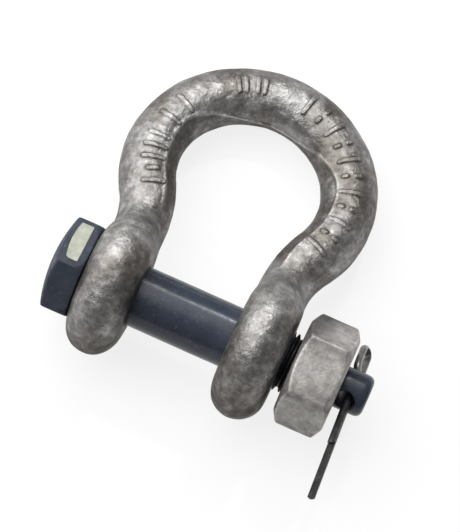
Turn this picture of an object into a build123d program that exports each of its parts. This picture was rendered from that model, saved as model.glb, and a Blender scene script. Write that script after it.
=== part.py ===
from build123d import *
from math import acos, asin, cos, degrees, radians, sin, sqrt, tan
import os

os.makedirs("parts", exist_ok=True)

# A bolt-type safety bow shackle, in millimetres and degrees.
# The origin is on the pin axis, midway between the ears. +X runs along the bolt from its head
# to its nut, +Y points from the bolt towards the crown, and +Z is up. The shackle lies as it
# comes to rest on a flat surface: on the rims of both ears and on the crown.
# Every turn about the bolt is measured from the crown's direction towards the upper side.

# Bow forging
pin_diameter = 28.0
jaw_gap = 45.0
ear_thickness = 24.6
ear_diameter = 65.6
ear_blend_radius = 16.0
bar_diameter = 26.6
neck_diameter = 24.2
bow_inside_width = 65.0
bow_inside_length = 91.7
neck_bend_radius = 48.6
pin_hole_clearance = 0.3
pin_hole_edge_bevel = 0.8

# Bolt
bolt_seat_clearance = 0.3
head_across_flats = 42.5
head_height = 16.2
head_dome_height = 4.6
head_corner_turn = -4.0
under_head_bevel = 3.0
under_head_bevel_angle = 34.0
thread_diameter = 27.0
shank_past_ear = 0.6
thread_recess = 1.6
thread_end_bevel = 1.6
dog_diameter = 19.4
dog_edge_radius = 3.2
cross_hole_diameter = 9.0
cross_hole_turn = 152.0
cross_hole_under_nut = 0.9
cross_hole_to_end = 4.8

# Nut
nut_across_flats = 46.0
nut_height = 23.4
nut_standoff = 4.5
nut_corner_turn = 21.0
nut_bevel_angle = 30.0
nut_corner_bevel = 3.2
nut_bore_clearance = 0.06
nut_mouth_bevel = 1.5

# Split pin
split_pin_diameter = 3.8
split_pin_gap = 0.2
split_pin_eye_width = 8.8
split_pin_eye_length = 18.4
split_pin_neck_radius = 3.0
split_pin_eye_standoff = 0.8
split_pin_short_leg = 34.5
split_pin_long_leg = 68.0
split_pin_lean = 9.0
split_pin_side_lean = 2.0
split_pin_offset = 1.2
split_pin_twist = 36.0
split_pin_tip_bevel = 0.7

# Places that follow from those sizes
bar_radius = bar_diameter / 2
ear_radius = ear_diameter / 2
ear_half = ear_thickness / 2
ear_centre = jaw_gap / 2 + ear_half
ear_face = jaw_gap / 2 + ear_thickness
crown_radius = bow_inside_width / 2 + bar_radius
crown_height = pin_diameter / 2 + bow_inside_length + bar_radius
nut_inner = ear_face + nut_standoff
nut_outer = nut_inner + nut_height
thread_end = nut_outer - thread_recess
cross_hole_centre = nut_outer - cross_hole_under_nut + cross_hole_diameter / 2
bolt_end = cross_hole_centre + cross_hole_diameter / 2 + cross_hole_to_end

# The bow lies in this plane: local x is the pin axis and local y runs to the crown.
lie_angle = asin((ear_radius - bar_radius) / crown_height)
bow_plane = Plane(origin=(0, 0, 0), x_dir=(1, 0, 0), z_dir=(0, sin(lie_angle), cos(lie_angle)))


def on_bow(x, y):
    """A point of the bow's plane."""
    return bow_plane.from_local_coords((x, y, 0))


def across_bolt(x):
    """The plane across the bolt at x, with its local x towards the crown."""
    return Plane(origin=(x, 0, 0), x_dir=bow_plane.y_dir, z_dir=(1, 0, 0))


def round_bolt(turn):
    """The unit direction square to the bolt at this turn."""
    return bow_plane.y_dir * cos(radians(turn)) + bow_plane.z_dir * sin(radians(turn))


# Bow: one forged bar, bent to a wide bow, that runs out into two round ears
with BuildPart() as bow:
    # The neck arc and the crown arc meet on the line between their centres.
    crown_centre = crown_height - crown_radius
    neck_reach = ear_centre + neck_bend_radius
    neck_rise = sqrt((crown_radius + neck_bend_radius) ** 2 - neck_reach**2)
    share = crown_radius / (crown_radius + neck_bend_radius)
    meeting_x, meeting_y = neck_reach * share, crown_centre - neck_rise * share
    leg_top = crown_centre - neck_rise
    # The bar thickens only where the neck has left the ear's rim.
    neck_turn = asin(neck_rise / (crown_radius + neck_bend_radius))
    even_share = asin(max(ear_radius - leg_top, 0) / neck_bend_radius) / neck_turn
    for side in (-1, 1):
        with BuildLine() as limb:
            leg = Line(on_bow(side * ear_centre, 0), on_bow(side * ear_centre, leg_top))
            neck = TangentArc(leg @ 1, on_bow(side * meeting_x, meeting_y), tangent=leg % 1)
        sections = ((leg, 0, neck_diameter), (neck, even_share, neck_diameter), (neck, 1, bar_diameter))
        for edge, place, diameter in sections:
            with BuildSketch(Plane(origin=edge @ place, z_dir=edge % place)):
                Circle(diameter / 2)
        sweep(path=limb.wires()[0], multisection=True)
    with BuildLine():
        crown = TangentArc(neck @ 1, on_bow(-meeting_x, meeting_y), tangent=neck % 1)
    with BuildSketch(Plane(origin=crown @ 0, z_dir=crown % 0)):
        Circle(bar_diameter / 2)
    sweep(path=crown)

    # Each ear is a disc with a fully rounded rim, turned about the pin axis.
    for side in (-1, 1):
        with BuildSketch(Plane(origin=(side * ear_centre, 0, 0), z_dir=bow_plane.z_dir, x_dir=(1, 0, 0))):
            with BuildLine():
                rim_start = ear_radius - ear_half
                rim = ThreePointArc((-ear_half, rim_start), (0, ear_radius), (ear_half, rim_start))
                Polyline(rim @ 1, (ear_half, 0), (-ear_half, 0), rim @ 0)
            make_face()
        revolve(axis=Axis.X)
        fillet(bow.edges(Select.NEW), ear_blend_radius)

    with BuildSketch(across_bolt(-ear_face)):
        Circle(pin_diameter / 2 + pin_hole_clearance)
    extrude(amount=2 * ear_face, mode=Mode.SUBTRACT)
    chamfer(bow.edges(Select.NEW).filter_by(GeomType.CIRCLE), pin_hole_edge_bevel)

# Bolt: domed hexagon head, plain shank, threaded length and a reduced end with a cross hole
with BuildPart() as bolt:
    head_seat = -ear_face - bolt_seat_clearance
    head_top = head_seat - head_height
    head_corner = head_across_flats / sqrt(3)
    with BuildSketch(across_bolt(head_top)):
        RegularPolygon(head_across_flats / 2, 6, major_radius=False, rotation=head_corner_turn)
    extrude(amount=head_height)
    with BuildSketch(Plane.XY):
        Polygon(
            (head_top, 0),
            (head_top, head_corner),
            (head_seat - under_head_bevel, head_corner),
            (head_seat, head_corner - under_head_bevel * tan(radians(under_head_bevel_angle))),
            (head_seat, 0),
            align=None,
        )
    revolve(axis=Axis.X, mode=Mode.INTERSECT)
    dome_radius = (head_corner**2 + head_dome_height**2) / (2 * head_dome_height)
    with Locations((head_top + dome_radius, 0, 0)):
        Sphere(dome_radius, mode=Mode.INTERSECT)

    with BuildSketch(across_bolt(head_seat)):
        Circle(pin_diameter / 2)
    extrude(amount=ear_face + shank_past_ear - head_seat)
    with BuildSketch(across_bolt(ear_face)):
        Circle(thread_diameter / 2)
    extrude(amount=thread_end - ear_face)
    chamfer(bolt.faces().sort_by(Axis.X)[-1].edges(), thread_end_bevel)
    with BuildSketch(across_bolt(thread_end)):
        Circle(dog_diameter / 2)
    extrude(amount=bolt_end - thread_end)
    fillet(bolt.faces().sort_by(Axis.X)[-1].edges(), dog_edge_radius)

    with BuildSketch(Plane(origin=(cross_hole_centre, 0, 0), z_dir=round_bolt(cross_hole_turn))):
        Circle(cross_hole_diameter / 2)
    extrude(amount=dog_diameter, both=True, mode=Mode.SUBTRACT)

# Nut: hexagon with both faces bevelled at the corners
with BuildPart() as nut:
    nut_corner = nut_across_flats / sqrt(3)
    nut_bore = thread_diameter / 2 + nut_bore_clearance
    with BuildSketch(across_bolt(nut_inner)):
        RegularPolygon(nut_across_flats / 2, 6, major_radius=False, rotation=nut_corner_turn)
    extrude(amount=nut_height)
    bevel_start = nut_corner - nut_corner_bevel / tan(radians(nut_bevel_angle))
    with BuildSketch(Plane.XY):
        with BuildLine():
            Polyline(
                (nut_inner, nut_bore + nut_mouth_bevel),
                (nut_inner, bevel_start),
                (nut_inner + nut_corner_bevel, nut_corner),
                (nut_outer - nut_corner_bevel, nut_corner),
                (nut_outer, bevel_start),
                (nut_outer, nut_bore + nut_mouth_bevel),
                (nut_outer - nut_mouth_bevel, nut_bore),
                (nut_inner + nut_mouth_bevel, nut_bore),
                close=True,
            )
        make_face()
    revolve(axis=Axis.X, mode=Mode.INTERSECT)

# Split pin: half-round wire folded into an eye and two legs, one leg much shorter
with BuildPart() as split_pin:
    pin_turn = cross_hole_turn + split_pin_lean
    side_lean = radians(split_pin_side_lean)
    twist = radians(split_pin_twist)
    to_tips = round_bolt(pin_turn) * cos(side_lean) + Vector(1, 0, 0) * sin(side_lean)
    to_nut = round_bolt(pin_turn) * sin(side_lean) - Vector(1, 0, 0) * cos(side_lean)
    to_short_leg = round_bolt(pin_turn - 90) * cos(twist) + to_nut * sin(twist)
    fold_plane = Plane(
        origin=(cross_hole_centre + split_pin_offset, 0, 0),
        x_dir=to_short_leg,
        z_dir=to_tips.cross(to_short_leg),
    )
    flat = split_pin_gap / 2
    wire_radius = split_pin_diameter / 2 - flat
    eye_radius = split_pin_eye_width / 2 - wire_radius
    neck_y = dog_diameter / 2 + split_pin_eye_standoff
    neck_turn = degrees(acos((flat + split_pin_neck_radius) / (eye_radius + split_pin_neck_radius)))
    neck_height = (eye_radius + split_pin_neck_radius) * sin(radians(neck_turn))
    eye_side = split_pin_eye_length - neck_height - eye_radius - wire_radius
    with BuildLine(fold_plane) as fold:
        short_leg = Line((flat, -split_pin_short_leg), (flat, neck_y))
        flare = JernArc(short_leg @ 1, short_leg % 1, split_pin_neck_radius, -neck_turn)
        swing = JernArc(flare @ 1, flare % 1, eye_radius, neck_turn)
        side = Line(swing @ 1, swing @ 1 - to_tips * eye_side)
        loop = JernArc(side @ 1, side % 1, eye_radius, 180)
        back_side = Line(loop @ 1, loop @ 1 + to_tips * eye_side)
        back_swing = JernArc(back_side @ 1, back_side % 1, eye_radius, neck_turn)
        back_flare = JernArc(back_swing @ 1, back_swing % 1, split_pin_neck_radius, -neck_turn)
        Line(back_flare @ 1, (-flat, -split_pin_long_leg))
    with BuildSketch(Plane(origin=short_leg @ 0, x_dir=to_short_leg, z_dir=short_leg % 0)):
        Circle(wire_radius)
        Rectangle(wire_radius, 2 * wire_radius, align=(Align.MAX, Align.CENTER), mode=Mode.SUBTRACT)
    sweep(path=fold.wires()[0])
    tips = split_pin.faces().filter_by(Axis(fold_plane.origin, to_tips))
    chamfer(tips.edges().filter_by(GeomType.CIRCLE), split_pin_tip_bevel)

bow.part.label = "bow"
bolt.part.label = "bolt"
nut.part.label = "nut"
split_pin.part.label = "split_pin"
export_step(bow.part, "parts/bow.step")
export_step(bolt.part, "parts/bolt.step")
export_step(nut.part, "parts/nut.step")
export_step(split_pin.part, "parts/split_pin.step")
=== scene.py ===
"""The looks of a safety bow shackle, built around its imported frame.

The object's sizes are in mm and the stage's in m, as the headings say. A turn about the bolt is
measured from the crown's direction towards the bow's face.
"""

import math

import bmesh
import bpy
import numpy as np
from mathutils import Matrix, Vector, noise


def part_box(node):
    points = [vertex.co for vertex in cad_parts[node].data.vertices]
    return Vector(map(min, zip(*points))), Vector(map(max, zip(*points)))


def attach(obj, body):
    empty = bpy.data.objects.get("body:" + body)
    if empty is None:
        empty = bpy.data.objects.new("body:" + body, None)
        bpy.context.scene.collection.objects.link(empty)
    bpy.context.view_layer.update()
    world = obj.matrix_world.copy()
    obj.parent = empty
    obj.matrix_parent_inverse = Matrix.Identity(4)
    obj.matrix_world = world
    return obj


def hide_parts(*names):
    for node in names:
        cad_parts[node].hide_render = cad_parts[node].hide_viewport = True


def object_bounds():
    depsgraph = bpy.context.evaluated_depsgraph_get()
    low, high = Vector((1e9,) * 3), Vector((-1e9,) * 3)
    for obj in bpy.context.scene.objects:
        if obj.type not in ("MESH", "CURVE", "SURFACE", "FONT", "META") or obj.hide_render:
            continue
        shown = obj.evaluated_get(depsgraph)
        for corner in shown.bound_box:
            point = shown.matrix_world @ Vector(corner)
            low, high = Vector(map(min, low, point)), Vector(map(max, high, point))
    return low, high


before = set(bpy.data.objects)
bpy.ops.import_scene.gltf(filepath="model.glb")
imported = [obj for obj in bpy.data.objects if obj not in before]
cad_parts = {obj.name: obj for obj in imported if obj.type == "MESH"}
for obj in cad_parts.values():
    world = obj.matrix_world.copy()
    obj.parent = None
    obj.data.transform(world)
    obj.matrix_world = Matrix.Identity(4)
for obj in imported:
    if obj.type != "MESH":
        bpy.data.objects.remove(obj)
CAD_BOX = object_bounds()
MM = 0.001

# The bow's plane leans down to the crown by this much, as the shackle lies.
LIE = math.radians(9.4313)
CROWN_WAY = Vector((0, math.cos(LIE), -math.sin(LIE)))
FACE_WAY = Vector((0, math.sin(LIE), math.cos(LIE)))

# The bow's centre line, in mm, in its own plane: crown arc, neck arcs and legs
BAR_RADIUS = 13.3
CROWN_RADIUS = 45.8
CROWN_CENTRE = 73.2
NECK_RADIUS = 48.6
EAR_CENTRE = 34.8
NECK_CENTRE = EAR_CENTRE + NECK_RADIUS
NECK_RISE = math.sqrt((CROWN_RADIUS + NECK_RADIUS) ** 2 - NECK_CENTRE**2)
LEG_TOP = CROWN_CENTRE - NECK_RISE
NECK_TURN = math.asin(NECK_RISE / (CROWN_RADIUS + NECK_RADIUS))
CROWN_TURN = math.pi / 2 + NECK_TURN

# Skins: mesh size in mm, rounds of smoothing, and unevenness as (lump size, depth) in mm
BOW_VOXEL, BOW_SMOOTHING = 0.80, 6
BOLT_VOXEL, BOLT_SMOOTHING = 0.50, 18
NUT_VOXEL, NUT_SMOOTHING = 0.45, 16
BOW_LUMPS = ((23.0, 0.45), (8.0, 0.20), (3.0, 0.09))
BOW_SINK = 0.15
BOLT_LUMPS = ((9.0, 0.10), (2.5, 0.04))
NUT_LUMPS = ((11.0, 0.20), (3.5, 0.10))

# Where the forging's unevenness and its bar begin, and over what length they come in, in mm
HOLE_RIM, HOLE_BLEND = 18, 8
BAR_START, BAR_BLEND = 34, 12

# The trimmed edge left by the forging's flash, in mm: its place round the bar at the crown and
# its shift towards the face, how far from the crown the shift begins and over what length, its
# ridge, and the step down on its inner side
FLASH_AT_CROWN, FLASH_SHIFT = -20.5, 13.5
FLASH_TURNS_OFF, FLASH_CROSSES = 9, 53
FLASH_HEIGHT, FLASH_WIDTH = 0.50, 0.9
FLASH_STEP, FLASH_STEP_WIDTH = 0.30, 1.5
FLASH_LUMP, FLASH_VARIES = 6.0, 0.5

# Plain raised marks on the bow's face, in mm: bars on the head's limb as (way along, half
# length), pairs of bars at the crown, and on the nut's limb a bar and a pair of pips by turns,
# as (way round, half length)
HEAD_LIMB_BARS = (
    (-97.5, 4.6),
    (-91.5, 2.2),
    (-85.5, 4.6),
    (-79.5, 4.6),
    (-73.5, 4.2),
    (-62.5, 4.6),
    (-52.0, 4.6),
)
HEAD_LIMB_ROUND = -0.9
CROWN_PAIRS, CROWN_PAIR_OFFSET = (-22.5, -13.5), 1.7
CROWN_ROUND, CROWN_HALF = -0.6, 3.4
NUT_LIMB_START, NUT_LIMB_STEP, NUT_LIMB_STEPS = 10.3, 8.4, 11
NUT_LIMB_BAR = ((-0.7, 4.8),)
NUT_LIMB_PIPS = ((2.3, 0.8), (-3.7, 0.8))
MARK_WIDTH, MARK_HEIGHT, MARK_EDGE = 2.1, 0.8, 0.5
MARK_LUMP, MARK_LEAST, MARK_VARIES = 5.0, 0.75, 0.25
MARK_FINE_MESH = 1.5
FAR_AWAY = 1e3

# Painted shade and darkening, and painted highlight with wear on edges: shares from 0 to 1, and
# reaches, lumps and drops in mm
# Painted shade at the foot of the raised marks
MARK_SHADE, MARK_SHADE_VARIES, MARK_SHADE_LUMP, MARK_SHADE_REACH = 0.7, 0.6, 6.0, 0.7
PATCH_LUMP, PATCH_LEVEL = 15.0, 0.7
# Painted shade on the bar's inner side
INSIDE_SHADE = 0.7
# Darker towards the ears' ends
EAR_DARKENING, EAR_DARKENING_TOP, EAR_DARKENING_BLEND = 0.85, 8, 34
FLAT_GRIME, FLAT_GRIME_VARIES, FLAT_GRIME_LUMP = 0.35, 0.5, 4.0
FLAT_GRIME_RIM, FLAT_GRIME_BLEND = 0.4, 2.0
# Painted shade in and about the nut's bore
BORE_SHADE_WIDTH, BORE_SHADE_BLEND = 2.0, 1.5
# Drops at which the painted highlight and wear on edges are full
BOW_EDGE_DROP, NUT_EDGE_DROP = 0.05, 0.035

# Bolt and nut, in mm
EAR_FACE = 47.1
SHANK_END = 47.7
THREAD_END = 73.4
THREAD_RADIUS = 13.5
THREAD_PITCH = 3.0
THREAD_DEPTH = 1.84
THREAD_BEVEL = 1.6
THREAD_CORE_GAP = 0.5
THREAD_COLUMNS, THREAD_ROWS_PER_MM = 120, 5
FLANK_SLOPE, CREST_SHARE = 2.3, 0.5
HEAD_FLAT = 21.25
NUT_FLAT = 23.0
NUT_BORE = 13.58

# The blank label on one flat of the head, in mm: its two edges along the bolt's axis, its two
# edges across it, its corners, and the height of its under and upper side over the flat
LABEL_TURN = math.radians(86)
LABEL_NEAR, LABEL_FAR = -56.7, -51.0
LABEL_TOP, LABEL_FOOT = -10.0, 9.2
LABEL_ROUNDING, LABEL_LARGE_ROUNDING = 0.5, 2.0
LABEL_BULGE = 1.0
LABEL_LIFT = (0.02, 0.20)
CORNER_STEPS, EDGE_STEPS = 6, 12

# Patterns, in mm. The shift chooses where the zinc's lighter and darker parts fall.
PATTERN_SHIFT = (130, 40, 10)
NOISE_LOW, NOISE_HIGH = 0.3, 0.7
HEAD_MATT_END, SHANK_GLOSS_START = -47.0, -45.0
# The split pin's painted shade on its legs and painted light on its eye, along this way
PIN_EYE_WAY = (0, 0.87, -0.49)
PIN_SHADE_END, PIN_LIGHT_START = -14.0, 12.0
# Painted shade of the ear on the nut's corner near it
EAR_SHADE_TURN, EAR_SHADE_TOWARDS_EAR, EAR_SHADE_OUTWARD = math.radians(40), 0.6, 0.8
EAR_SHADE_START, EAR_SHADE_FULL = -21.0, -15.5

# How much of what it mirrors the forging's zinc keeps towards its outline
ZINC_EDGE_TINT = 0.35

# A Mix node's colour sockets, whose names its other sockets share
MIX_FIRST, MIX_SECOND, MIX_RESULT = 6, 7, 2

# Floor, sky and lamps: sizes and distances in m, powers in W
FLOOR_SIZE = 8
FLOOR_GREY, FLOOR_ROUGHNESS, FLOOR_GLOW = 0.2, 0.9, 0.82
SKY_STRENGTH = 0.18
KEY_TURN, KEY_DISTANCE, KEY_SIZE, KEY_POWER = math.radians(60), 0.9, 0.05, 1.4
SOFT_TURN, SOFT_DISTANCE, SOFT_SIZE, SOFT_POWER = math.radians(84), 1.2, 1.8, 27
SOFT_TOWARDS_HEAD = 0.7

# The photograph's viewpoint, measured from the bow's own plane, with distances in m
VIEW_YAW = math.radians(3.37)
VIEW_TILT = math.radians(27.54)
VIEW_ROLL = math.radians(25.53)
VIEW_DISTANCE = 1.300
VIEW_FOCUS_PX = 2910.78
VIEW_CENTRE_PX = (228.52, 226.34)
VIEW_TARGET = CROWN_WAY * 50 * MM
FRAME_PX = (460, 532)
SENSOR_MM = 36.0
VIEW_END = 10


def round_bolt(turn):
    """The direction square to the bolt at this turn."""
    return CROWN_WAY * math.cos(turn) + FACE_WAY * math.sin(turn)


def smooth_step(value):
    """0 below 0, 1 above 1, and an even curve in between."""
    value = np.clip(value, 0, 1)
    return value * value * (3 - 2 * value)


# Meshes


def even_skin(node, name, voxel, smoothing):
    """A copy of a CAD node, skinned again as an even mesh with softened edges."""
    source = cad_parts[node]
    obj = bpy.data.objects.new(name, source.data.copy())
    bpy.context.collection.objects.link(obj)
    obj.data.transform(source.matrix_world)
    skin = obj.modifiers.new("even skin", "REMESH")
    skin.mode = "VOXEL"
    skin.voxel_size = voxel * MM
    soften = obj.modifiers.new("soft edges", "SMOOTH")
    soften.factor = 0.5
    soften.iterations = smoothing
    bpy.context.view_layer.update()
    graph = bpy.context.evaluated_depsgraph_get()
    obj.data = bpy.data.meshes.new_from_object(obj.evaluated_get(graph))
    obj.modifiers.clear()
    obj.data.shade_smooth()
    return obj


def read_skin(mesh):
    """The mesh's points in mm and its point normals."""
    places = np.empty(len(mesh.vertices) * 3)
    mesh.vertices.foreach_get("co", places)
    normals = np.empty(len(mesh.vertices) * 3)
    mesh.vertex_normals.foreach_get("vector", normals)
    return places.reshape(-1, 3) / MM, normals.reshape(-1, 3)


def write_skin(mesh, places, node):
    """Sets the points, given in mm, none of them outside the CAD node's box."""
    low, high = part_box(node)
    mesh.vertices.foreach_set("co", np.clip(places * MM, low, high).ravel())
    mesh.update()


def unevenness(places, size):
    """Soft noise from about -1 to 1 at each point, with lumps of this size in mm."""
    return np.array([noise.noise(Vector(place) / size) for place in places])


def pushed_in(places, normals, lumps):
    """The points sunk by noise, for each (size, depth) of the lumps."""
    depth = sum(amount * (0.5 - 0.5 * unevenness(places, size)) for size, amount in lumps)
    return places - normals * depth[:, None]


def edge_sharpness(mesh, full):
    """How sharply the skin turns outward at each point.

    It is 1 where the points about it lie lower by the full drop, in mm.
    """
    places, normals = read_skin(mesh)
    ends = np.empty(2 * len(mesh.edges), dtype=int)
    mesh.edges.foreach_get("vertices", ends)
    first, second = ends.reshape(-1, 2).T
    below = np.zeros(len(places))
    count = np.zeros(len(places))
    for here, there in ((first, second), (second, first)):
        drop = ((places[here] - places[there]) * normals[here]).sum(axis=1)
        below += np.bincount(here, weights=drop, minlength=len(places))
        count += np.bincount(here, minlength=len(places))
    return smooth_step(below / np.maximum(count, 1) / full)


def keep_share(mesh, name, share):
    """Keeps a share from 0 to 1 for each point of the mesh, for its material."""
    mesh.attributes.new(name, "FLOAT", "POINT").data.foreach_set("value", np.clip(share, 0, 1))


def mesh_piece(name, points, faces):
    """A new smooth object from points in mm and faces."""
    mesh = bpy.data.meshes.new(name)
    mesh.from_pydata([tuple(point * MM) for point in points], [], faces)
    mesh.update()
    mesh.shade_smooth()
    obj = bpy.data.objects.new(name, mesh)
    bpy.context.collection.objects.link(obj)
    return obj


# The bow


def along_bar(places):
    """Each point's way along the bar from the crown, and round the bar from its face, in mm.

    The way along is negative on the head's side. The way round is positive outward.
    """
    across = places[:, 0]
    up = places @ np.array(CROWN_WAY)
    off_plane = places @ np.array(FACE_WAY)
    width = np.abs(across)
    crown_angle = np.arctan2(width, up - CROWN_CENTRE)
    neck_angle = np.arctan2(up - LEG_TOP, NECK_CENTRE - width)
    on_crown = (crown_angle <= CROWN_TURN) & (up > LEG_TOP)
    on_leg = ~on_crown & (up < LEG_TOP)
    neck_start = CROWN_RADIUS * CROWN_TURN
    along_neck = neck_start + NECK_RADIUS * (NECK_TURN - neck_angle)
    along_leg = neck_start + NECK_RADIUS * NECK_TURN + LEG_TOP - up
    along = np.where(on_crown, CROWN_RADIUS * crown_angle, np.where(on_leg, along_leg, along_neck))
    off_crown = np.hypot(width, up - CROWN_CENTRE) - CROWN_RADIUS
    off_neck = NECK_RADIUS - np.hypot(NECK_CENTRE - width, up - LEG_TOP)
    outward = np.where(on_crown, off_crown, np.where(on_leg, width - EAR_CENTRE, off_neck))
    return along * np.sign(across), BAR_RADIUS * np.arctan2(outward, off_plane)


def bow_marks():
    """The plain marks on the face: (way along, way round, half length across)."""
    marks = [(along, HEAD_LIMB_ROUND, half) for along, half in HEAD_LIMB_BARS]
    for along in CROWN_PAIRS:
        for side in (-1, 1):
            marks.append((along + side * CROWN_PAIR_OFFSET, CROWN_ROUND, CROWN_HALF))
    for step in range(NUT_LIMB_STEPS):
        along = NUT_LIMB_START + NUT_LIMB_STEP * step
        marks += [(along, *mark) for mark in (NUT_LIMB_PIPS if step % 2 else NUT_LIMB_BAR)]
    return marks


def mark_distance(along, round_bar):
    """How far each point lies from the middle line of the nearest mark."""
    nearest = np.full(along.shape, FAR_AWAY)
    for mark_along, mark_round, half in bow_marks():
        past_end = np.maximum(np.abs(round_bar - mark_round) - half, 0)
        nearest = np.minimum(nearest, np.hypot(along - mark_along, past_end))
    return nearest


def refine_marks(mesh):
    """Splits the faces about the marks, so that their edges come out clean."""
    shape = bmesh.new()
    shape.from_mesh(mesh)
    places = np.array([vertex.co for vertex in shape.verts]) / MM
    near = mark_distance(*along_bar(places)) < MARK_WIDTH / 2 + MARK_FINE_MESH
    near &= places @ np.array(FACE_WAY) > 0
    shape.verts.index_update()
    edges = [edge for edge in shape.edges if all(near[end.index] for end in edge.verts)]
    bmesh.ops.subdivide_edges(shape, edges=edges, cuts=1, use_grid_fill=True)
    bmesh.ops.triangulate(shape, faces=[face for face in shape.faces if len(face.verts) > 4])
    shape.to_mesh(mesh)
    shape.free()


def flash_line(along):
    """Where the trimmed edge runs round the bar.

    It lies on the inner side at the crown, and nearer the face on the limbs.
    """
    shifted = smooth_step((np.abs(along) - FLASH_TURNS_OFF) / FLASH_CROSSES)
    return FLASH_AT_CROWN + FLASH_SHIFT * shifted


def forging_lumps(places):
    """The forging's unevenness, which leaves the pin holes true."""
    lumps = sum(height * unevenness(places, size) for size, height in BOW_LUMPS)
    off_axis = np.hypot(places[:, 1], places[:, 2])
    return smooth_step((off_axis - HOLE_RIM) / HOLE_BLEND) * (lumps - BOW_SINK)


def trimmed_edge(places, from_flash):
    """A low ridge where the flash was trimmed, and a small step down on its inner side."""
    ridge = FLASH_HEIGHT * np.exp(-((from_flash / FLASH_WIDTH) ** 2))
    ridge *= 1 + FLASH_VARIES * unevenness(places, FLASH_LUMP)
    return ridge - FLASH_STEP * smooth_step(-from_flash / FLASH_STEP_WIDTH)


def raised_marks(places, from_mark):
    """The height of the marks, worn unevenly."""
    raised = smooth_step(((MARK_WIDTH + MARK_EDGE) / 2 - from_mark) / MARK_EDGE)
    return MARK_HEIGHT * raised * (MARK_LEAST + MARK_VARIES * unevenness(places, MARK_LUMP))


def mark_shade(places, from_mark):
    """Painted shade at the foot of the marks, which reaches further beside them than onto them."""
    past_edge = from_mark - MARK_WIDTH / 2
    reach = np.where(past_edge > 0, MARK_SHADE_REACH, MARK_SHADE_REACH / 2)
    amount = MARK_SHADE + MARK_SHADE_VARIES * unevenness(places, MARK_SHADE_LUMP)
    return amount * np.exp(-((past_edge / reach) ** 2))


def forge_bow():
    """The bow with forging unevenness, a trimmed edge, raised marks, painted shade, darker ears,
    and painted highlight and wear on edges.
    """
    bow = even_skin("bow", "forged_bow", BOW_VOXEL, BOW_SMOOTHING)
    refine_marks(bow.data)
    places, normals = read_skin(bow.data)
    along, round_bar = along_bar(places)
    up = places @ np.array(CROWN_WAY)
    on_bar = smooth_step((up - BAR_START) / BAR_BLEND)
    on_face = on_bar * (places @ np.array(FACE_WAY) > 0)
    from_flash = round_bar - flash_line(along)
    from_mark = mark_distance(along, round_bar)

    height = forging_lumps(places)
    height += on_bar * trimmed_edge(places, from_flash)
    height += on_face * raised_marks(places, from_mark)
    write_skin(bow.data, places + normals * height[:, None], "bow")

    patches = smooth_step(PATCH_LEVEL - unevenness(places, PATCH_LUMP))
    # Painted shade on the bar's inner side, past the trimmed edge
    inside = INSIDE_SHADE * on_bar * smooth_step(-from_flash / FLASH_STEP_WIDTH) * patches
    # Darker towards the ears' ends
    about_ears = EAR_DARKENING * smooth_step((EAR_DARKENING_TOP - up) / EAR_DARKENING_BLEND) * patches
    # Painted shade at the foot of the marks and on the inner side, with the ears darker
    shade_and_darkening = np.maximum(on_face * mark_shade(places, from_mark), np.maximum(inside, about_ears))
    keep_share(bow.data, "shade_and_darkening", shade_and_darkening)
    # Painted highlight and wear on the skin's outward edges
    keep_share(bow.data, "wear_and_highlight", edge_sharpness(bow.data, BOW_EDGE_DROP))
    return bow


# The bolt, its thread and the label


def paint_bolt():
    """The bolt with softened edges and a core sunk in where the thread goes."""
    bolt = even_skin("bolt", "painted_bolt", BOLT_VOXEL, BOLT_SMOOTHING)
    places = pushed_in(*read_skin(bolt.data), BOLT_LUMPS)
    threaded = (places[:, 0] > SHANK_END) & (places[:, 0] < THREAD_END - THREAD_CORE_GAP)
    reach = np.hypot(places[:, 1], places[:, 2])
    core = THREAD_RADIUS - THREAD_DEPTH - THREAD_CORE_GAP
    shrink = np.where(threaded & (reach > core), core / np.maximum(reach, core), 1)
    places[:, 1:] *= shrink[:, None]
    write_skin(bolt.data, places, "bolt")
    return bolt


def thread_reach(x, column_share):
    """How far the thread reaches from the bolt's axis here, with its ends bevelled."""
    phase = (x / THREAD_PITCH + column_share) % 1
    flank = min(max(FLANK_SLOPE * abs(2 * phase - 1) - CREST_SHARE, 0), 1)
    to_end = min(THREAD_END - x, x - EAR_FACE + THREAD_BEVEL)
    bevelled = THREAD_RADIUS - max(THREAD_BEVEL - to_end, 0)
    return min(THREAD_RADIUS - THREAD_DEPTH * flank, bevelled)


def cut_thread():
    """The thread as one closed helical skin with flat ends."""
    length = THREAD_END - EAR_FACE
    rows = int(length * THREAD_ROWS_PER_MM) + 1
    columns = THREAD_COLUMNS
    points = []
    for row in range(rows):
        x = EAR_FACE + length * row / (rows - 1)
        for column in range(columns):
            outward = round_bolt(2 * math.pi * column / columns)
            points.append(Vector((x, 0, 0)) + outward * thread_reach(x, column / columns))
    faces = []
    for start in range(0, (rows - 1) * columns, columns):
        for column in range(columns):
            here, beside = start + column, start + (column + 1) % columns
            faces.append((here, beside, beside + columns, here + columns))
    faces.append(tuple(reversed(range(columns))))
    faces.append(tuple(range((rows - 1) * columns, rows * columns)))
    return mesh_piece("thread", points, faces)


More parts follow.
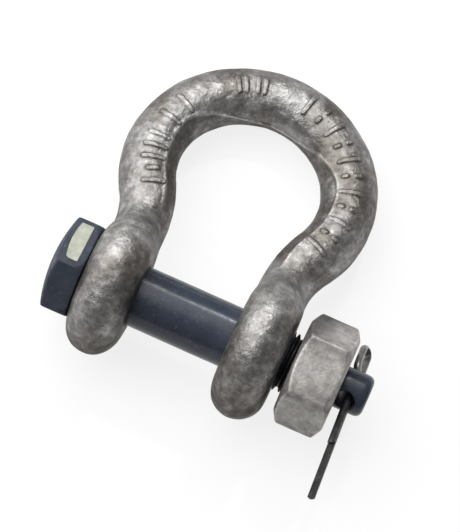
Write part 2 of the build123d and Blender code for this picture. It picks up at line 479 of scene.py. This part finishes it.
def label_outline():
    """The label's outline: four rounded corners, and a near edge that bulges."""
    corners = (
        (LABEL_NEAR, LABEL_TOP, LABEL_ROUNDING),
        (LABEL_FAR, LABEL_TOP, LABEL_ROUNDING),
        (LABEL_FAR, LABEL_FOOT, LABEL_ROUNDING),
        (LABEL_NEAR, LABEL_FOOT, LABEL_LARGE_ROUNDING),
    )
    outline = []
    for quarter, (x, side, rounding) in enumerate(corners):
        centre_x = x + (rounding if x == LABEL_NEAR else -rounding)
        centre_side = side + (rounding if side == LABEL_TOP else -rounding)
        for step in range(CORNER_STEPS + 1):
            angle = math.pi * (1 + (quarter + step / CORNER_STEPS) / 2)
            outline.append(
                (centre_x + rounding * math.cos(angle), centre_side + rounding * math.sin(angle))
            )
    edge_start = LABEL_FOOT - LABEL_LARGE_ROUNDING
    edge_end = LABEL_TOP + LABEL_ROUNDING
    for step in range(1, EDGE_STEPS):
        share = step / EDGE_STEPS
        bulge = LABEL_BULGE * 4 * share * (1 - share)
        outline.append((LABEL_NEAR - bulge, edge_start + (edge_end - edge_start) * share))
    return outline


def place_label():
    """A thin blank label on one flat of the head."""
    outward = round_bolt(LABEL_TURN)
    sideways = round_bolt(LABEL_TURN + math.pi / 2)
    outline = label_outline()
    points = []
    for lift in LABEL_LIFT:
        level = outward * (HEAD_FLAT + lift)
        points += [Vector((x, 0, 0)) + level + sideways * side for x, side in outline]
    count = len(outline)
    faces = [tuple(range(count)), tuple(range(2 * count - 1, count - 1, -1))]
    faces += [(i, i + count, (i + 1) % count + count, (i + 1) % count) for i in range(count)]
    label = mesh_piece("label", points, faces)
    label.data.shade_flat()
    return label


# The nut


def dress_nut():
    """The nut with softened corners, an uneven skin, corner grime, painted shade at its bore,
    painted highlight and wear on edges, and a bore at full width.
    """
    nut = even_skin("nut", "galvanised_nut", NUT_VOXEL, NUT_SMOOTHING)
    places = pushed_in(*read_skin(nut.data), NUT_LUMPS)
    reach = np.hypot(places[:, 1], places[:, 2])
    places[:, 1:] *= (np.maximum(reach, NUT_BORE) / reach)[:, None]
    write_skin(nut.data, places, "nut")

    off_flats = smooth_step((reach - NUT_FLAT - FLAT_GRIME_RIM) / FLAT_GRIME_BLEND)
    on_flats = FLAT_GRIME + FLAT_GRIME_VARIES * unevenness(places, FLAT_GRIME_LUMP)
    # Painted shade in and about the bore
    in_bore = smooth_step((NUT_BORE + BORE_SHADE_WIDTH - reach) / BORE_SHADE_BLEND)
    keep_share(nut.data, "shade_and_darkening", np.maximum(off_flats * on_flats, in_bore))
    # Painted highlight and wear on the skin's outward edges
    keep_share(nut.data, "wear_and_highlight", edge_sharpness(nut.data, NUT_EDGE_DROP))
    return nut


# Materials


class Finish:
    """A procedural material, built node by node."""

    def __init__(self, name, metallic, specular):
        self.material = bpy.data.materials.new(name)
        self.material.use_nodes = True
        self.nodes = self.material.node_tree.nodes
        self.links = self.material.node_tree.links
        self.shader = self.nodes["Principled BSDF"]
        self.shader.inputs["Metallic"].default_value = metallic
        self.shader.inputs["Specular IOR Level"].default_value = specular
        self.place = self.nodes.new("ShaderNodeTexCoord").outputs["Object"]
        shift = self.nodes.new("ShaderNodeMapping")
        shift.inputs["Location"].default_value = [part * MM for part in PATTERN_SHIFT]
        self.links.new(self.place, shift.inputs["Vector"])
        self.pattern_place = shift.outputs["Vector"]

    def noise(self, lump, detail=4.0, roughness=0.6, distortion=0.0):
        """Noise with lumps of this size in mm."""
        node = self.nodes.new("ShaderNodeTexNoise")
        node.inputs["Scale"].default_value = 1 / (lump * MM)
        node.inputs["Detail"].default_value = detail
        node.inputs["Roughness"].default_value = roughness
        node.inputs["Distortion"].default_value = distortion
        self.links.new(self.pattern_place, node.inputs["Vector"])
        return node.outputs["Fac"]

    def attribute(self, name):
        """A value kept on the mesh's points."""
        node = self.nodes.new("ShaderNodeAttribute")
        node.attribute_name = name
        return node.outputs["Fac"]

    def along(self, way, start, end):
        """0 to 1 between two distances in mm from the frame's origin, measured this way."""
        reach = self.nodes.new("ShaderNodeVectorMath")
        reach.operation = "DOT_PRODUCT"
        reach.inputs[1].default_value = way
        self.links.new(self.place, reach.inputs[0])
        return self.spread(reach.outputs["Value"], start * MM, end * MM)

    def spread(self, source, start, end, low=0.0, high=1.0):
        """The source value between start and end, spread from low to high."""
        node = self.nodes.new("ShaderNodeMapRange")
        node.inputs["From Min"].default_value = start
        node.inputs["From Max"].default_value = end
        node.inputs["To Min"].default_value = low
        node.inputs["To Max"].default_value = high
        self.links.new(source, node.inputs["Value"])
        return node.outputs["Result"]

    def level(self, source, low, high):
        """Noise spread from low to high."""
        return self.spread(source, NOISE_LOW, NOISE_HIGH, low, high)

    def ramp(self, source, *stops):
        """Colours at these places along the source value."""
        node = self.nodes.new("ShaderNodeValToRGB")
        elements = node.color_ramp.elements
        while len(elements) < len(stops):
            elements.new(0.5)
        for element, (place, colour) in zip(elements, stops):
            element.position = place
            element.color = (*colour, 1)
        self.links.new(source, node.inputs["Fac"])
        return node.outputs["Color"]

    def product(self, first, *others):
        """Colours multiplied together."""
        for other in others:
            node = self.nodes.new("ShaderNodeMix")
            node.data_type = "RGBA"
            node.blend_type = "MULTIPLY"
            node.inputs["Factor"].default_value = 1.0
            self.links.new(first, node.inputs[MIX_FIRST])
            self.links.new(other, node.inputs[MIX_SECOND])
            first = node.outputs[MIX_RESULT]
        return first

    def colour(self, source):
        self.links.new(source, self.shader.inputs["Base Color"])

    def roughness(self, source):
        self.links.new(source, self.shader.inputs["Roughness"])

    def bump(self, source, depth, under=None):
        """Fine relief of this depth in mm, on top of another one."""
        node = self.nodes.new("ShaderNodeBump")
        node.inputs["Strength"].default_value = 1.0
        node.inputs["Distance"].default_value = depth * MM
        self.links.new(source, node.inputs["Height"])
        if under:
            self.links.new(under, node.inputs["Normal"])
        self.links.new(node.outputs["Normal"], self.shader.inputs["Normal"])
        return node.outputs["Normal"]


def grey(value, warmth=0.0):
    """A grey, warmer above 0 and cooler below."""
    return (value * (1 + warmth), value, value * (1 - warmth))


def zinc_forging():
    """Hot-dip zinc on a forging: mottled, with darker blotches, painted shade in its corners,
    darker ears, and painted highlight and wear on edges.
    """
    finish = Finish("zinc_forging", metallic=0.75, specular=0.5)
    finish.shader.inputs["Specular Tint"].default_value = (*grey(ZINC_EDGE_TINT), 1)
    mottle = finish.ramp(
        finish.noise(4.5, detail=5.0, roughness=0.62),
        (0.30, grey(0.235, 0.04)),
        (0.45, grey(0.34, 0.03)),
        (0.58, grey(0.45, 0.02)),
        (0.72, grey(0.70)),
    )
    blotch = finish.noise(24.0, detail=3.0, roughness=0.5)
    blotch = finish.ramp(blotch, (0.38, grey(0.55, 0.06)), (0.56, grey(1.0)))
    grain = finish.ramp(finish.noise(1.3, detail=3.0), (0.3, grey(0.70)), (0.7, grey(1.0)))
    # Painted shade and darker ears, kept on the mesh
    shade_and_darkening = finish.ramp(finish.attribute("shade_and_darkening"), (0.0, grey(1.0)), (1.0, grey(0.38, 0.05)))
    # Painted highlight and wear on edges
    wear_and_highlight = finish.ramp(finish.attribute("wear_and_highlight"), (0.0, grey(1.0)), (1.0, grey(1.6)))
    finish.colour(finish.product(mottle, blotch, grain, shade_and_darkening, wear_and_highlight))
    finish.roughness(finish.level(finish.noise(5.0), 0.28, 0.52))
    coarse = finish.bump(finish.noise(3.4), 0.6)
    finish.bump(finish.noise(0.9, detail=3.0), 0.12, coarse)
    return finish.material


def zinc_nut():
    """Lighter, more even zinc on the nut, with painted shade of the ear on one corner near it."""
    finish = Finish("zinc_nut", metallic=0.45, specular=0.5)
    mottle = finish.ramp(
        finish.noise(5.0, detail=5.0, distortion=0.4),
        (0.3, grey(0.26, 0.06)),
        (0.5, grey(0.40, 0.05)),
        (0.7, grey(0.54, 0.04)),
    )
    grain = finish.ramp(finish.noise(1.1, detail=3.0), (0.3, grey(0.75)), (0.7, grey(1.0)))
    # Grime at the corners and painted shade about the bore, kept on the mesh
    shade_and_darkening = finish.ramp(finish.attribute("shade_and_darkening"), (0.0, grey(1.0)), (1.0, grey(0.25, 0.05)))
    # Painted highlight and wear on edges
    wear_and_highlight = finish.ramp(finish.attribute("wear_and_highlight"), (0.0, grey(1.0)), (1.0, grey(1.5)))
    # Painted shade of the ear on the corner near it
    ear_shade_way = round_bolt(EAR_SHADE_TURN) * EAR_SHADE_OUTWARD - Vector((EAR_SHADE_TOWARDS_EAR, 0, 0))
    ear_shade = finish.along(ear_shade_way, EAR_SHADE_START, EAR_SHADE_FULL)
    ear_shade = finish.ramp(ear_shade, (0.0, grey(1.0)), (1.0, grey(0.35)))
    finish.colour(finish.product(mottle, grain, shade_and_darkening, wear_and_highlight, ear_shade))
    finish.roughness(finish.level(finish.noise(4.0), 0.34, 0.54))
    coarse = finish.bump(finish.noise(3.6, detail=3.0, roughness=0.5), 0.16)
    finish.bump(finish.noise(0.9, detail=3.0), 0.05, coarse)
    return finish.material


def bolt_paint():
    """Blue-grey paint with faint wear and dust, glossy but for a matt head."""
    finish = Finish("bolt_paint", metallic=0.0, specular=0.28)
    tone = finish.ramp(
        finish.noise(9.0, detail=5.0),
        (0.3, (0.032, 0.040, 0.058)),
        (0.55, (0.044, 0.054, 0.074)),
        (0.75, (0.060, 0.070, 0.090)),
    )
    dust = finish.noise(1.6, detail=2.0, roughness=0.5)
    dust = finish.ramp(dust, (0.66, grey(1.0)), (0.74, grey(2.2)))
    finish.colour(finish.product(tone, dust))
    matt_head = finish.along((1, 0, 0), HEAD_MATT_END, SHANK_GLOSS_START)
    matt_head = finish.ramp(matt_head, (0.0, grey(2.8)), (1.0, grey(1.15)))
    finish.roughness(finish.product(matt_head, finish.level(finish.noise(4.0), 0.16, 0.27)))
    finish.bump(finish.noise(1.6, detail=3.0), 0.03)
    return finish.material


def shaded_thread():
    """The thread, painted almost black as shade where it lies between the ear and the nut."""
    finish = Finish("shaded_thread", metallic=0.1, specular=0.2)
    # Almost black, as painted shade
    finish.colour(finish.ramp(finish.noise(2.0), (0.3, grey(0.006)), (0.7, grey(0.014))))
    finish.roughness(finish.level(finish.noise(3.0), 0.35, 0.55))
    finish.bump(finish.noise(0.8), 0.03)
    return finish.material


def wire_steel():
    """Drawn wire of the split pin, with painted shade on its legs and painted light on its eye."""
    finish = Finish("wire_steel", metallic=0.85, specular=0.5)
    tone = finish.ramp(
        finish.noise(5.0),
        (0.3, grey(0.10, 0.04)),
        (0.55, grey(0.16, 0.03)),
        (0.75, grey(0.25, 0.02)),
    )
    # Painted shade towards the legs and painted light towards the eye
    eye_light = finish.along(PIN_EYE_WAY, PIN_SHADE_END, PIN_LIGHT_START)
    finish.colour(finish.product(tone, finish.ramp(eye_light, (0.0, grey(0.6)), (1.0, grey(2.4)))))
    finish.roughness(finish.level(finish.noise(4.0), 0.28, 0.42))
    finish.bump(finish.noise(0.9, detail=2.0), 0.015)
    return finish.material


def label_paper():
    """Cream paper, slightly soiled."""
    finish = Finish("label_paper", metallic=0.0, specular=0.3)
    cream = finish.ramp(finish.noise(4.0), (0.3, (0.36, 0.37, 0.30)), (0.7, (0.52, 0.53, 0.45)))
    finish.colour(cream)
    finish.roughness(finish.level(finish.noise(2.0), 0.55, 0.7))
    finish.bump(finish.noise(1.0), 0.02)
    return finish.material


def dress(obj, material, body, slot, *nodes):
    """Gives a piece its material and its body, and hides the CAD nodes that it stands for; the
    slot is not used.
    """
    obj.data.materials.clear()
    obj.data.materials.append(material)
    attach(obj, body)
    if nodes:
        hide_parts(*nodes)


# Stage, light and camera


def background_ray(nodes, links):
    """1 for rays that show the background: seen directly, mirrored or through glass."""
    rays = nodes.new("ShaderNodeLightPath")
    total = rays.outputs["Is Camera Ray"]
    for kind in ("Is Glossy Ray", "Is Transmission Ray"):
        either = nodes.new("ShaderNodeMath")
        either.operation = "MAXIMUM"
        links.new(total, either.inputs[0])
        links.new(rays.outputs[kind], either.inputs[1])
        total = either.outputs[0]
    return total


def make_floor():
    """A plain white floor that keeps the object's shadow."""
    bpy.ops.mesh.primitive_plane_add(size=FLOOR_SIZE, location=(0, 0, CAD_BOX[0][2]))
    floor = bpy.context.object
    floor.name = "floor"
    material = bpy.data.materials.new("floor")
    material.use_nodes = True
    nodes, links = material.node_tree.nodes, material.node_tree.links
    shader = nodes["Principled BSDF"]
    shader.inputs["Base Color"].default_value = (*grey(FLOOR_GREY), 1)
    shader.inputs["Roughness"].default_value = FLOOR_ROUGHNESS
    shader.inputs["Specular IOR Level"].default_value = 0.0
    shader.inputs["Emission Color"].default_value = (1, 1, 1, 1)
    glow = nodes.new("ShaderNodeMath")
    glow.operation = "MULTIPLY"
    glow.inputs[1].default_value = FLOOR_GLOW
    links.new(background_ray(nodes, links), glow.inputs[0])
    links.new(glow.outputs[0], shader.inputs["Emission Strength"])
    floor.data.materials.append(material)


def make_sky():
    """Even soft light from all round."""
    world = bpy.data.worlds.new("world")
    world.use_nodes = True
    background = world.node_tree.nodes["Background"]
    background.inputs["Color"].default_value = (1, 1, 1, 1)
    background.inputs["Strength"].default_value = SKY_STRENGTH
    bpy.context.scene.world = world


def make_lamp(name, way, distance, size, power):
    """A square lamp that shines at the bow from this direction."""
    data = bpy.data.lights.new(name, "AREA")
    data.energy = power
    data.size = size
    lamp = bpy.data.objects.new(name, data)
    lamp.location = VIEW_TARGET + way.normalized() * distance
    lamp.rotation_euler = (VIEW_TARGET - lamp.location).to_track_quat("-Z", "Y").to_euler()
    bpy.context.collection.objects.link(lamp)


def make_camera():
    """The camera at the photograph's angle."""
    across = Vector((1, 0, 0))
    back = (
        across * math.sin(VIEW_YAW) * math.cos(VIEW_TILT)
        + FACE_WAY * math.cos(VIEW_YAW) * math.cos(VIEW_TILT)
        - CROWN_WAY * math.sin(VIEW_TILT)
    )
    level = (-back).cross(CROWN_WAY).normalized()
    up = level.cross(-back)
    right_way = level * math.cos(VIEW_ROLL) + up * math.sin(VIEW_ROLL)
    up_way = up * math.cos(VIEW_ROLL) - level * math.sin(VIEW_ROLL)
    per_px = VIEW_DISTANCE / VIEW_FOCUS_PX
    place = (
        VIEW_TARGET
        + back * VIEW_DISTANCE
        - right_way * (VIEW_CENTRE_PX[0] - FRAME_PX[0] / 2) * per_px
        + up_way * (VIEW_CENTRE_PX[1] - FRAME_PX[1] / 2) * per_px
    )
    data = bpy.data.cameras.new("camera")
    data.sensor_width = SENSOR_MM
    data.lens = VIEW_FOCUS_PX * SENSOR_MM / max(FRAME_PX)
    data.clip_end = VIEW_END
    camera = bpy.data.objects.new("camera", data)
    turn = Matrix((right_way, up_way, back)).transposed().to_4x4()
    camera.matrix_world = Matrix.Translation(place) @ turn
    bpy.context.collection.objects.link(camera)
    bpy.context.scene.camera = camera


dress(forge_bow(), zinc_forging(), "bow", "galvanised_forging", "bow")
dress(paint_bolt(), bolt_paint(), "bolt", "painted_steel", "bolt")
dress(cut_thread(), shaded_thread(), "bolt", "painted_steel")
dress(place_label(), label_paper(), "bolt", "label")
dress(dress_nut(), zinc_nut(), "nut", "galvanised_nut", "nut")

split_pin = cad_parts["split_pin"]
split_pin.data.materials.clear()
split_pin.data.materials.append(wire_steel())

soft_way = round_bolt(SOFT_TURN) - Vector((SOFT_TOWARDS_HEAD, 0, 0))
make_floor()
make_sky()
make_lamp("key", round_bolt(KEY_TURN), KEY_DISTANCE, KEY_SIZE, KEY_POWER)
make_lamp("soft", soft_way, SOFT_DISTANCE, SOFT_SIZE, SOFT_POWER)
make_camera()
bpy.context.scene.view_settings.view_transform = "Standard"
